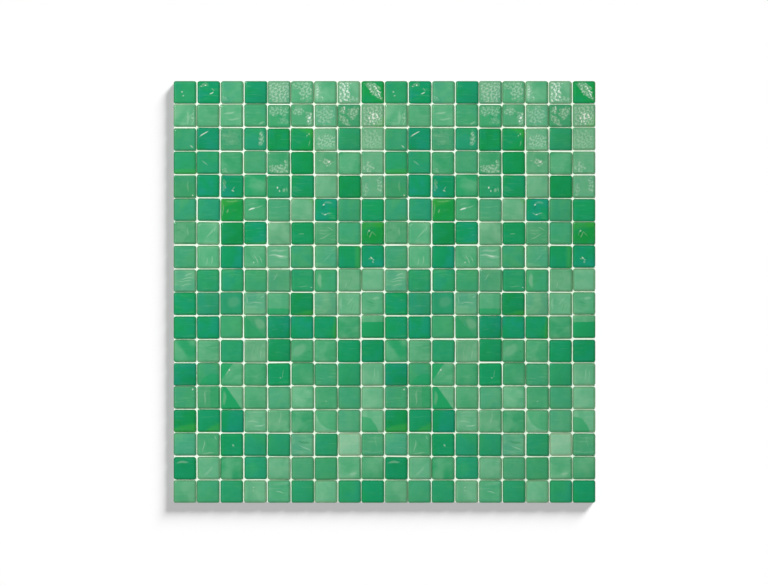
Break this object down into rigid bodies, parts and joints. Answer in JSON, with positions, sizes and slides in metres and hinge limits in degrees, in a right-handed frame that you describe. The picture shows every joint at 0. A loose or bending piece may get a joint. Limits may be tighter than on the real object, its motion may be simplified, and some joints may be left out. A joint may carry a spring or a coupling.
{
  "type": "mosaic tile sheet",
  "caption": "Square sheet of small pressed glass chips in rows, with cream-filled joints and a fibreglass net on the back.",
  "frame": {"origin": "middle of the sheet, on the underside of the net that it rests on", "axes": "+Z out of the chips' faces, +X along the rows of chips, +Y towards row 1, the picture's top edge"},
  "size_m": [0.291, 0.291, 0.0044],
  "materials": {
    "green_glass": "gloss, opaque pressed glass in mixed greens",
    "cream_filler": "matt",
    "net_yarn": "matt"
  },
  "bodies": {
    "root": {"chip_row_01": "green_glass", "chip_row_02": "green_glass", "chip_row_03": "green_glass", "chip_row_04": "green_glass", "chip_row_05": "green_glass", "chip_row_06": "green_glass", "chip_row_07": "green_glass", "chip_row_08": "green_glass", "chip_row_09": "green_glass", "chip_row_10": "green_glass", "chip_row_11": "green_glass", "chip_row_12": "green_glass", "chip_row_13": "green_glass", "chip_row_14": "green_glass", "chip_row_15": "green_glass", "chip_row_16": "green_glass", "chip_row_17": "green_glass", "chip_row_18": "green_glass", "joint_filler": "cream_filler", "net_weft": "net_yarn", "net_warp": "net_yarn"}
  },
  "joints": []
}
